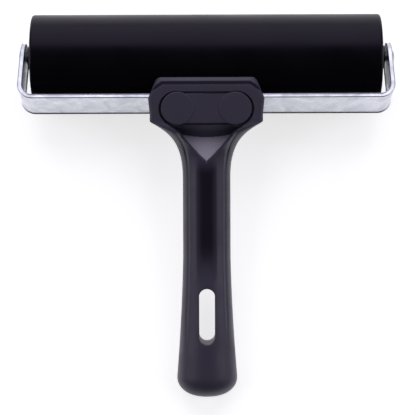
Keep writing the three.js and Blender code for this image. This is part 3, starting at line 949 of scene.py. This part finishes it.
@dataclass
class FrameScrews:
    """The two countersunk screws that hold the handle to the crossbar."""

    pose: Pose
    face: float = -20.6  # Y of the heads' outer faces, just inside the crossbar's
    shank_radius: float = 1.75
    head_radius: float = 3.2
    head_rim: float = 0.3
    head_depth: float = 1.6
    length: float = 9.0
    point: float = 1.6
    thread_pitch: float = 0.9
    thread_depth: float = 0.3
    facets: int = 48

    def profile(self) -> np.ndarray:
        """The screw's turned profile: head, cone, a shank with saw-tooth threads, and a point.

        Returns:
            Pairs of place along Y and radius.
        """
        turns = int((self.length - self.head_depth - self.point) / self.thread_pitch)
        start = self.face - self.head_depth
        root = self.shank_radius - self.thread_depth
        thread = np.empty((2 * turns, 2))
        thread[:, 0] = start - self.thread_pitch * (np.arange(2 * turns) + 1) / 2
        thread[0::2, 1] = self.shank_radius
        thread[1::2, 1] = root
        rim = [(self.face, self.head_radius), (self.face - self.head_rim, self.head_radius)]
        middle, tip = (self.face, NEAR_AXIS), (self.face - self.length, NEAR_AXIS)
        return np.vstack([middle, *rim, (start, root), thread, tip])

    def build(self, steel: Material) -> None:
        """Builds and dresses both screws.

        Args:
            steel: Their material.
        """
        for end in End:
            shift = (end.value * HALF_PAIR, 0.0, 0.0)
            shape = turned(self.profile(), self.facets, axis="y", shift=shift)
            screw = make_object(f"threaded_{end.side}_screw", shape, self.pose)
            install(screw, steel, Role(Body.FRAME, f"{end.side}_frame_screw", "axle_steel"))


# ---- Handle ----


@dataclass
class DiscInsert:
    """Two round discs and the slightly lower web between them, let into the head's plate."""

    pose: Pose
    radius: float = 6.95
    centre_y: float = -22.23
    thickness: float = 2.4
    bevel: float = 0.45
    web_half_length: float = 6.2
    web_drop: float = 0.4
    peg_radius: float = 2.6
    peg_setback: float = 2.4
    overlap: float = 0.5  # how far a peg runs into its disc, so that the two join
    facets: int = 120
    peg_facets: int = 48

    def build(self, plastic: Material) -> None:
        """Builds and dresses the insert: discs turned about Z, joined to a slab and two pegs.

        Args:
            plastic: Its material.
        """
        low, high = self.pose.extent("disc_insert")
        top, bottom = high[2], high[2] - self.thickness
        near, far = self.centre_y - self.web_half_length, self.centre_y + self.web_half_length
        web = block((-HALF_PAIR, near, bottom), (HALF_PAIR, far, top - self.web_drop), self.bevel / 2)
        insert = make_object("disc_pair", web, self.pose)
        rim = [(bottom, NEAR_AXIS), (bottom, self.radius), (top, self.radius), (top, NEAR_AXIS)]
        rim = eased(rim, self.bevel, closed=False, steps=ROUND_STEPS)
        side = [(low[2], self.peg_radius), (bottom + self.overlap, self.peg_radius)]
        tools = []
        for end in End:
            x = end.value * HALF_PAIR
            disc = turned(rim, self.facets, axis="z", shift=(x, self.centre_y, 0.0))
            peg = turned(side, self.peg_facets, axis="z", shift=(x, self.centre_y - self.peg_setback, 0.0))
            tools.append(make_object(f"{end.side}_disc", disc, self.pose))
            tools.append(make_object(f"{end.side}_peg", peg, self.pose))
        combine(insert, tools, "UNION")
        install(insert, plastic, Role(Body.FRAME, "disc_insert", "handle_plastic", crease=12.0))


@dataclass
class Handle:
    """The one-piece moulding: wide head, flared shoulders, thumb scoop, oval grip and hang slot.

    Pairs are (half width, Y) for the outline's corners, and (start, end) or steps from them for spans
    along Y. Y is zero at the axle and falls towards the butt.
    """

    pose: Pose
    bracket: Pose
    # The outline.
    front_half: float = 20.9
    shoulder: Pair = (24.65, -17.93)
    waist: Pair = (23.95, -24.73)
    rear: Pair = (24.0, -27.93)
    corner_softness: float = 0.45
    softness_stop: float = 2.0  # how far before the butt's rounded end the softening stops
    front_corner: float = 0.5
    flare_pull: Pair = (16.5, -32.03)
    flare_end: Pair = (10.1, -52.03)
    flare_neck_pull_y: float = -36.03
    neck: Pair = (9.95, -73.83)
    root_swell: float = 0.55
    root_stop: float = 8.0  # how far behind the front edge the root's swell is whole
    butt_half: float = 12.85
    butt_swell_power: float = 1.8
    butt_shy: float = 0.15  # how far the butt's end stays inside the CAD solid's
    butt_cap: float = 8.8
    butt_power: float = 2.25
    # The sections.
    axis_height: float = 6.99  # Z of the grip's middle line
    flatness: float = 0.765
    plate_edge: float = 1.2
    grip_rounding: Pair = (0.97, 0.96)  # shares of the half section, across and down
    shoulder_fall: Pair = (-27.5, -40.0)  # where the plate's level falls to the grip's
    rounding_lag: float = 3.0  # how much farther than the plate's level the rounding takes to change
    belly_lag: float = 4.0  # how much farther the underside takes
    head_underside: float = -5.0
    seam_proud: float = 0.12
    seam_half: float = 0.2
    seam_share: float = 0.3  # the most of a side that half a seam takes
    seam_fade: float = 4.0  # the half width below which the seam dies away
    # The plate's front lip and nose.
    groove_front: float = -12.15
    groove_corner: Pair = (18.5, 4.4)
    groove_slant: float = 0.66
    lip_profile: tuple[tuple[float, ...], tuple[float, ...]] = (
        (-3.6, -1.5, -1.2, -0.25, -0.02, 0.2, 0.45),
        (1.75, 0.42, 0.5, 1.45, 1.4, 0.1, 0.0),
    )
    nose: Pair = (0.7, 0.5)  # length and drop
    # The thumb scoop.
    scoop_apex: float = -44.6
    scoop_foot: float = -33.95
    scoop_top: float = -28.75
    scoop_floor: float = 10.6
    scoop_slope: float = 0.38
    scoop_half: float = 10.6
    scoop_power: float = 0.85
    scoop_mouth: Pair = (7.6, 2.0)  # how much it opens, and how far past the top
    scoop_side: Pair = (0.5, -0.8)  # steps from the outline to the side wall's top and foot
    crest_bow: Triple = (0.5, 12.25, 6.0)  # depth, X of its middle, half length
    foot_bow: Pair = (0.6, 0.0105)  # setback, and rise a square millimetre
    least_wall: float = 1.0  # the shortest way along Y from the crest to the foot
    # The grip's channel and its two side grooves.
    channel_half: float = 4.7
    channel_depth: float = 1.0
    channel_power: float = 1.5
    channel_ends: Pair = (-46.0, -99.0)
    channel_start_fade: Pair = (3.0, -5.0)
    channel_end_fade: float = 14.0
    ramp_band: float = 0.25  # how near the ramp's level a point counts as on it
    polish_edge: Pair = (0.4, -2.4)  # steps from the channel's half width
    polish_fades: tuple[float, float, float, float] = (2.0, -5.0, 1.0, 20.0)  # steps from its two ends
    rail_share: float = 0.77  # where a side groove runs, as a share of the half width
    rail_depth: float = 0.28
    rail_width: float = 0.045
    rail_start: Pair = (-30.5, -36.0)
    rail_stop: Pair = (8.0, 30.0)  # steps from the butt's rounded end
    rail_boost: float = 1.2
    rail_boost_span: Pair = (-50.0, -38.0)
    # The cuts.
    hollow_radius: float = 20.35
    cut_half_length: float = 40.0
    seat_floor: Pair = (-22.8, 9.8)  # Y, half width
    seat_mouth: Triple = (-20.25, -30.0, 2.0)  # Y of its low side, lowest Z, farthest Y
    seat_brow: Pair = (-20.2, 7.3)  # Y and Z of the edge over the crossbar
    pocket_gap: float = 0.5
    pocket_shift: Pair = (0.45, -0.3)
    pocket_lip: Triple = (-0.25, 0.05, 0.3)  # foot and top from the plate, width
    pocket_rise: float = 4.0  # how far the pockets' cutters stand out of the plate
    pocket_floor: float = 0.2  # its height over the plate, less the insert's thickness
    web_gaps: Pair = (0.9, 0.95)
    web_bevel: float = 0.1
    peg_hole: Pair = (2.9, 4.0)  # radius and depth
    screw_hole: float = 2.05
    screw_hole_ends: Pair = (-30.0, -20.0)
    slot_half: float = 3.4
    slot_ends: Pair = (-123.13, -99.33)
    slot_rim: float = 0.6
    slot_overshoot: Pair = (0.02, 5.0)  # outwards, and above the surface
    # How fine it is.
    station_counts: tuple[int, int, int, int] = (84, 76, 110, 22)
    station_joins: Pair = (-26.93, -46.6)
    cap_turn: float = math.pi / 2 - 0.03  # stops just short of the butt's very end
    flare_steps: int = 240
    softening_steps: int = 6
    top_columns: int = 141
    bottom_columns: int = 51
    slot_points: int = 48
    hole_facets: int = 40

    def flare_width(self, y: np.ndarray) -> np.ndarray:
        """The flare's half width: a cubic curve from the head's rear corner to the grip's neck.

        Args:
            y: Places along the handle.

        Returns:
            The half widths there.
        """
        share = np.linspace(0, 1, self.flare_steps)
        weights = [(1 - share) ** 3, 3 * share * (1 - share) ** 2, 3 * share**2 * (1 - share), share**3]
        widths = [self.rear[0], self.flare_pull[0], self.flare_end[0], self.flare_end[0]]
        places = [self.rear[1], self.flare_pull[1], self.flare_neck_pull_y, self.flare_end[1]]
        curve_x = sum(weight * width for weight, width in zip(weights, widths))
        curve_y = sum(weight * place for weight, place in zip(weights, places))
        return np.interp(-y, -curve_y, curve_x)

    def sharp_width(self, y: np.ndarray) -> np.ndarray:
        """The half width before its corners are softened.

        The head is a run of straight sides, the flare a curve, and the grip swells by a power of the
        way towards each end.

        Args:
            y: Places along the handle.

        Returns:
            The half widths there.
        """
        sides = [(self.front_half, self.front_y()), self.shoulder, self.waist, self.rear]
        head = np.interp(-y, [-side_y for _, side_y in sides], [half for half, _ in sides])
        neck_half, neck_y = self.neck
        towards = np.clip((y - neck_y) / (self.front_y() - self.root_stop - neck_y), 0, 1)
        away = np.clip((neck_y - y) / (neck_y - self.butt_y()), 0, 1)
        grip = neck_half + self.root_swell * towards**2
        grip = grip + (self.butt_half - neck_half) * away**self.butt_swell_power
        return np.where(y > self.rear[1], head, np.maximum(self.flare_width(y), grip))

    def half_width(self, y: np.ndarray) -> np.ndarray:
        """The handle's half width along it.

        Corners are softened by taking the mean over a short length. The butt is a rounded end, one
        power curve with the other's root.

        Args:
            y: Places along the handle.

        Returns:
            The half widths there.
        """
        butt_y = self.butt_y()
        softness = np.where(y > butt_y + self.softness_stop, self.corner_softness, 0)
        steps = np.linspace(-1, 1, self.softening_steps)
        width = np.mean([self.sharp_width(y + step * softness) for step in steps], axis=0)
        corner = np.clip(1 - (self.front_y() - y) / self.front_corner, 0, 1)
        width = width - self.front_corner * (1 - np.sqrt(1 - corner**2))
        cap = np.clip((butt_y - y) / self.butt_cap, 0, 1)
        return width * (1 - cap**self.butt_power) ** (1 / self.butt_power)

    def front_y(self) -> float:
        """The head's front edge."""
        return self.pose.extent("handle")[1][1]

    def butt_y(self) -> float:
        """Where the butt's rounded end begins."""
        return self.pose.extent("handle")[0][1] + self.butt_shy + self.butt_cap

    def plate(self) -> float:
        """The height of the head's plate."""
        return self.pose.extent("handle")[1][2]

    def rounding(self, x: np.ndarray, y: np.ndarray) -> np.ndarray:
        """How far the surface has dropped at x, as a quarter ellipse that begins short of the side.

        The ellipse is a small circle on the head and nearly the whole half section on the grip, and
        changes smoothly between them.

        Args:
            x: Places across.
            y: Places along.

        Returns:
            The drop from the crown, in millimetres.
        """
        width = self.half_width(y)
        across, down = self.grip_rounding
        to_grip = smooth_step(y, self.shoulder_fall[0], self.shoulder_fall[1] - self.rounding_lag)
        reach = self.plate_edge + (across * width - self.plate_edge) * to_grip
        reach = np.minimum(reach, across * width)
        depth = self.plate_edge + (down * self.flatness * width - self.plate_edge) * to_grip
        inward = np.clip((np.abs(x) - (width - reach)) / reach, 0, 1)
        return depth * (1 - np.sqrt(np.maximum(1 - inward**2, 0)))

    def front_edge(self, x: np.ndarray, y: np.ndarray) -> np.ndarray:
        """How far inside the groove's line a place is; the line runs straight and then cuts the corners.

        Args:
            x: Places across.
            y: Places along.

        Returns:
            The distances into the plate.
        """
        corner_x, along = self.groove_corner
        across = self.groove_slant * along
        slanted = (corner_x - np.abs(x)) * across + (self.groove_front - y) * along
        return np.minimum(self.groove_front - y, slanted / math.hypot(across, along))

    def upper(self, x: np.ndarray, y: np.ndarray) -> np.ndarray:
        """The height of the upper surface.

        It is the crown line less the rounding. From it are taken a front lip, whose drop follows a
        short profile out from the plate's edge, the nose's rounding, a cosine channel and two narrow
        side grooves down the grip, and the thumb scoop.

        Args:
            x: Places across.
            y: Places along.

        Returns:
            The heights there.
        """
        width = self.half_width(y)
        grip_top = self.axis_height + self.flatness * width
        at_head = smooth_step(y, self.shoulder_fall[1], self.shoulder_fall[0])
        height = grip_top + (self.plate() - grip_top) * at_head - self.rounding(x, y)
        height = height - np.interp(self.front_edge(x, y), *self.lip_profile)
        nose_length, nose_drop = self.nose
        nose = np.clip(1 - (self.front_y() - y) / nose_length, 0, 1)
        height = height - nose_drop * (1 - np.sqrt(1 - nose**2))
        start, end = self.channel_ends
        fade_from, fade_to = self.channel_start_fade
        fade = smooth_step(y, start + fade_from, start + fade_to)
        fade = fade * smooth_step(y, end, end + self.channel_end_fade)
        across = np.clip(np.abs(x) / self.channel_half, 0, 1)
        channel = (1 + np.cos(math.pi * across**self.channel_power)) / 2
        height = height - self.channel_depth * fade * channel
        stop_from, stop_to = self.rail_stop
        rails = smooth_step(y, *self.rail_start)
        rails = rails * smooth_step(y, self.butt_y() + stop_from, self.butt_y() + stop_to)
        rails = rails * (1 + self.rail_boost * smooth_step(y, *self.rail_boost_span))
        off = (np.abs(x) / np.maximum(width, LEAST) - self.rail_share) / self.rail_width
        return self.scooped(x, y, height - self.rail_depth * rails * np.exp(-(off**2)))

    def scooped(self, x: np.ndarray, y: np.ndarray, height: np.ndarray) -> np.ndarray:
        """Lowers the surface to the thumb scoop's floor inside its three-cornered outline.

        Args:
            x: Places across.
            y: Places along.
            height: The surface before the scoop.

        Returns:
            The surface with the scoop.
        """
        mask, floor = self.scoop_mask(x, y), self.scoop_level(y)
        return np.where(floor < height, height * (1 - mask) + floor * mask, height)

    def scoop_level(self, y: np.ndarray) -> np.ndarray:
        """The height of the thumb scoop's floor, a ramp that climbs to the grip."""
        return self.scoop_floor + self.scoop_slope * (self.scoop_foot - y)

    def scoop_mask(self, x: np.ndarray, y: np.ndarray) -> np.ndarray:
        """How far the scoop has reached its floor: 1 on the floor, 0 outside its rim.

        The outline is a triangle with a blunt point, a power of the way from it, that opens out
        towards the discs. Its wall runs from a crest behind the discs down to a bowed foot.

        Args:
            x: Places across.
            y: Places along.

        Returns:
            The share of the way down.
        """
        way = np.clip((y - self.scoop_apex) / (self.scoop_foot - self.scoop_apex), 0, 1)
        opening, past = self.scoop_mouth
        opened = opening * smooth_step(y, self.scoop_foot, self.scoop_top + past)
        mouth = self.scoop_half * way**self.scoop_power + opened
        side = smooth_step(np.abs(x), mouth + self.scoop_side[0], mouth + self.scoop_side[1])
        bow, middle, half_length = self.crest_bow
        crest = self.scoop_top - bow * np.clip(1 - np.abs(np.abs(x) - middle) / half_length, 0, 1)
        setback, rise = self.foot_bow
        foot = np.minimum(self.scoop_foot - setback + rise * x**2, crest - self.least_wall)
        return side * np.clip((crest - y) / (crest - foot), 0, 1)

    def lower(self, x: np.ndarray, y: np.ndarray) -> np.ndarray:
        """The height of the underside: flat under the head, then the grip's oval belly.

        Args:
            x: Places across.
            y: Places along.

        Returns:
            The heights there.
        """
        belly = self.axis_height - self.flatness * self.half_width(y)
        at_head = smooth_step(y, self.shoulder_fall[1] - self.belly_lag, self.shoulder_fall[0])
        return belly + (self.head_underside - belly) * at_head + self.rounding(x, y)

    def stations(self) -> np.ndarray:
        """Places along the handle, close together where the shape has fine detail.

        Returns:
            The places' Y, from the front edge to the butt.
        """
        joins = [self.front_y(), *self.station_joins, self.butt_y()]
        runs = [np.linspace(*run)[:-1] for run in zip(joins, joins[1:], self.station_counts)]
        cap = np.sin(np.linspace(0, self.cap_turn, self.station_counts[-1]))
        return np.concatenate([*runs, self.butt_y() - self.butt_cap * cap])

    def body(self) -> Surface:
        """The bare moulding: closed sections across the handle, joined along it.

        Each section runs over the upper surface from side to side, down one side with a fine moulding
        seam, back under the lower surface and up the other side.

        Returns:
            The closed surface.
        """
        y = self.stations()[:, None]
        width = self.half_width(y)
        over = np.sin(np.linspace(1, -1, self.top_columns) * math.pi / 2)[None, :] * width
        under = np.sin(np.linspace(-1, 1, self.bottom_columns) * math.pi / 2)[None, :] * width
        top, bottom = self.upper(over, y), self.lower(under, y)
        wall = top[:, -1:] - bottom[:, :1]
        step = np.minimum(self.seam_half / np.maximum(wall, LEAST), self.seam_share)
        down = 0.5 + step * [[-1.0, 0.0, 1.0]]
        proud = self.seam_proud * np.clip(width / self.seam_fade, 0, 1) * [[0.0, 1.0, 0.0]]
        left_z = top[:, -1:] - wall * down
        right_z = bottom[:, -1:] + (top[:, :1] - bottom[:, -1:]) * down
        x = np.hstack([over, -width - proud, under, width + proud])
        z = np.hstack([top, left_z, bottom, right_z])
        return ring_stack(np.stack([x, np.broadcast_to(y, x.shape), z], axis=-1))

    def slot_tool(self) -> Surface:
        """The hang slot's cutter: slot outlines stacked through the grip, opened out at both rims.

        A rim's outline grows as a quarter circle rolls from the slot's wall onto the grip's surface,
        and follows that surface's height.

        Returns:
            The closed surface.
        """
        turn = np.linspace(0, math.pi / 2, ROUND_STEPS)
        out, lift = self.slot_overshoot
        grown = np.append(self.slot_rim + out, self.slot_rim * (1 - np.sin(turn)))
        height = np.append(lift, -self.slot_rim * (1 - np.cos(turn)))
        rings = []
        for surface, order, up in ((self.upper, 1, 1.0), (self.lower, -1, -1.0)):
            for ring_grown, ring_height in zip(grown[::order], up * height[::order]):
                outline = capsule(self.slot_half, *self.slot_ends, ring_grown, self.slot_points)
                rings.append(np.column_stack([outline, surface(*outline.T) + ring_height]))
        return ring_stack(np.array(rings))

    def seat(self) -> np.ndarray:
        """The outline of the crossbar's seat, which opens downwards and towards the roller.

        Returns:
            The outline's points in Y and Z, in the bracket's directions.
        """
        floor, half = self.seat_floor
        side, lowest, farthest = self.seat_mouth
        brow, brow_z = self.seat_brow
        below = [(floor, -half), (side, -half), (side, lowest), (farthest, lowest)]
        return np.array(below + [(farthest, brow_z), (brow, brow_z), (brow, half), (floor, half)])

    def tools(self) -> list[Object]:
        """The cutters: roller hollow, crossbar seat, disc pockets, screw holes and hang slot.

        Returns:
            Closed objects to cut out of the moulding.
        """
        reach, plate = self.cut_half_length, self.plate()
        hollow = turned([(-reach, self.hollow_radius), (reach, self.hollow_radius)], Roller.facets)
        insert = DiscInsert(self.pose)
        floor, rise = plate + self.pocket_floor - insert.thickness, plate + self.pocket_rise
        near = insert.centre_y - insert.web_half_length - self.web_gaps[0]
        far = insert.centre_y + insert.web_half_length + self.web_gaps[1]
        web = block((-HALF_PAIR, near, floor), (HALF_PAIR, far, rise), self.web_bevel)
        cutters = {
            "roller_hollow": (hollow, self.pose),
            "crossbar_seat": (crossways(self.seat(), reach), self.bracket),
            "hang_slot": (self.slot_tool(), self.pose),
            "web_pocket": (web, self.pose),
        }
        foot, top, lip = self.pocket_lip
        wide = insert.radius + self.pocket_gap
        pocket = [(floor, wide), (plate + foot, wide), (plate + top, wide + lip), (rise, wide + lip)]
        peg_radius, peg_depth = self.peg_hole
        peg = [(floor - peg_depth, peg_radius), (floor + insert.overlap, peg_radius)]
        screw = [(screw_y, self.screw_hole) for screw_y in self.screw_hole_ends]
        shift_x, shift_y = self.pocket_shift
        for end in End:
            x = end.value * HALF_PAIR
            pocket_at = (x + end.value * shift_x, insert.centre_y + shift_y, 0.0)
            peg_at = (x, insert.centre_y - insert.peg_setback, 0.0)
            pocket_cut = turned(pocket, insert.facets, axis="z", shift=pocket_at)
            peg_cut = turned(peg, self.hole_facets, axis="z", shift=peg_at)
            screw_cut = turned(screw, self.hole_facets, axis="y", shift=(x, 0.0, 0.0))
            cutters[f"{end.side}_pocket"] = (pocket_cut, self.pose)
            cutters[f"{end.side}_peg_hole"] = (peg_cut, self.pose)
            cutters[f"{end.side}_screw_hole"] = (screw_cut, self.bracket)
        return [make_object(name, *cutter) for name, cutter in cutters.items()]

    def mark_polish(self, piece: Object) -> None:
        """Writes how polished each point is, and where the thumb scoop's ramp gets its painted highlight.

        Polish is 1 in the grip's channel and fades out at its sides and ends. The painted highlight's
        mask is 1 on the scoop's ramp.

        Args:
            piece: The moulding.
        """
        x, y, z = read_points(piece, self.pose).T
        start, end = self.channel_ends
        steps = self.polish_fades
        polish = smooth_step(np.abs(x), *(self.channel_half + edge for edge in self.polish_edge))
        polish = polish * smooth_step(y, start + steps[0], start + steps[1])
        polish = polish * smooth_step(y, end + steps[2], end + steps[3])
        write_share(piece, "polish", polish * (z > self.axis_height))
        # the thumb scoop's ramp gets the painted highlight, a lighter colour for the light it catches
        on_ramp = np.abs(z - self.scoop_level(y)) < self.ramp_band
        write_share(piece, "ramp_highlight_mask", self.scoop_mask(x, y) * on_ramp)

    def build(self, plastic: Material) -> None:
        """Builds and dresses the handle.

        Args:
            plastic: Its material.
        """
        handle = make_object("moulded_handle", self.body(), self.pose)
        combine(handle, self.tools(), "DIFFERENCE")
        self.mark_polish(handle)
        install(handle, plastic, Role(Body.FRAME, "handle", "handle_plastic"))


# ---- Studio ----


@dataclass
class Studio:
    """A pale floor, soft lights behind and on both sides, and a camera that looks nearly straight down."""

    axle: np.ndarray
    distance: float = 732.0
    lowered: float = 65.0
    tilt: float = math.radians(3.88)
    roll: float = math.radians(0.2)
    lens: float = 146.6
    nearest: float = 0.05  # the camera's clipping distances, in metres
    farthest: float = 20.0
    floor_half: float = 3000.0
    light_colour: str = "#f6f2ff"
    surround_colour: str = "#c8cad0"
    surround_strength: float = 0.03

    def build_camera(self) -> None:
        """Places the camera: back from the axle along the view, and a little down the picture."""
        back = np.array([0.0, -math.sin(self.tilt), math.cos(self.tilt)])
        up = np.array([0.0, math.cos(self.tilt), math.sin(self.tilt)])
        right = np.array([1.0, 0.0, 0.0])
        place = (self.axle + self.distance * back - self.lowered * up) * METRES
        place[0] = 0.0
        across = math.cos(self.roll) * right - math.sin(self.roll) * up
        above = math.cos(self.roll) * up + math.sin(self.roll) * right
        data = bpy.data.cameras.new("studio_camera")
        data.lens = self.lens
        data.clip_start = self.nearest
        data.clip_end = self.farthest
        camera = bpy.data.objects.new("studio_camera", data)
        turn = Matrix((across, above, back)).transposed().to_4x4()
        camera.matrix_world = Matrix.Translation(Vector(place)) @ turn
        bpy.context.scene.collection.objects.link(camera)
        bpy.context.scene.camera = camera

    def build_floor(self) -> None:
        """Lays a wide floor under the object."""
        reach = self.floor_half * METRES
        mesh = bpy.data.meshes.new("floor")
        corners = [(-reach, -reach, 0), (reach, -reach, 0), (reach, reach, 0), (-reach, reach, 0)]
        mesh.from_pydata(corners, [], [(0, 1, 2, 3)])
        mesh.materials.append(LitBoard().material())
        floor = bpy.data.objects.new("floor", mesh)
        bpy.context.scene.collection.objects.link(floor)

    def add_light(self, name: str, place: Triple, side: float, watts: float) -> None:
        """Hangs a square soft light that faces the object.

        Args:
            name: The light's name.
            place: Where it hangs, in metres.
            side: How wide it is, in metres.
            watts: Its strength.
        """
        data = bpy.data.lights.new(name, "AREA")
        data.shape = "SQUARE"
        data.size = side
        data.energy = watts
        data.color = linear(self.light_colour)[:3]
        light = bpy.data.objects.new(name, data)
        turn = (-Vector(place)).to_track_quat("-Z", "Y").to_matrix().to_4x4()
        light.matrix_world = Matrix.Translation(Vector(place)) @ turn
        bpy.context.scene.collection.objects.link(light)

    def build_lights(self) -> None:
        """Hangs the lights and sets a dim even surround."""
        self.add_light("back_softbox", (0.0, 1.31, 0.92), side=1.8, watts=17.0)
        self.add_light("left_softbox", (-1.5, 0.1, 1.3), side=1.4, watts=8.5)
        self.add_light("right_softbox", (1.5, 0.1, 1.3), side=1.4, watts=8.5)
        world = bpy.data.worlds.new("dim_surround")
        world.use_nodes = True
        surround = world.node_tree.nodes["Background"]
        surround.inputs["Color"].default_value = linear(self.surround_colour)
        surround.inputs["Strength"].default_value = self.surround_strength
        bpy.context.scene.world = world
        bpy.context.scene.view_settings.view_transform = "Standard"


# ---- Assembly ----


def main() -> None:
    """Builds every sub-assembly around the frame and reports each piece."""
    logging.basicConfig(level=logging.INFO, format="%(message)s")
    spin = next(joint for joint in frame["joints"] if joint["name"] == "roller_spin")
    axle = np.array(spin["pos_m"], float) / METRES
    plate_normal = next(mount for mount in frame["record"]["mounts"] if mount["name"] == "disc_face")["axis"]
    tip = math.atan2(-plate_normal[1], plate_normal[2])
    handle_pose = Pose(axle, tip)
    bracket_pose = Pose(axle, tip - BRACKET_TILT)

    studio = Studio(axle)
    studio.build_camera()
    studio.build_floor()
    studio.build_lights()

    plastic = MouldedPlastic().material()
    zinc = PlatedSteel(
        "bright_zinc_on_rolled_strip", "#dcdee5", tinted="#bfc3cd", corner="#bcc0ca", roughness=(0.24, 0.42)
    )
    drawn = PlatedSteel(
        "bright_drawn_steel", "#b9bbc0", tinted="#a2a4aa", corner="#8a8c92", roughness=(0.24, 0.36),
        patch_mm=3.0, line_mm=0.3,
    )
    steel = drawn.material()
    nylon = SpeckledSolid("moulded_black_nylon", "#141317", speck="#1d1c21", roughness=0.5, speck_mm=0.6)
    tube = SpeckledSolid(
        "extruded_grey_plastic_tube", "#47474c", speck="#545459", roughness=0.55, speck_mm=0.8
    )

    Roller(handle_pose).build(GroundRubber().material(), tube.material(), nylon.material())
    Axle(handle_pose).build(steel)
    StripFrame(bracket_pose).build(zinc.material())
    DiscInsert(handle_pose).build(plastic)
    Handle(handle_pose, bracket_pose).build(plastic)
    FrameScrews(bracket_pose).build(steel)


if __name__ == "__main__":
    main()
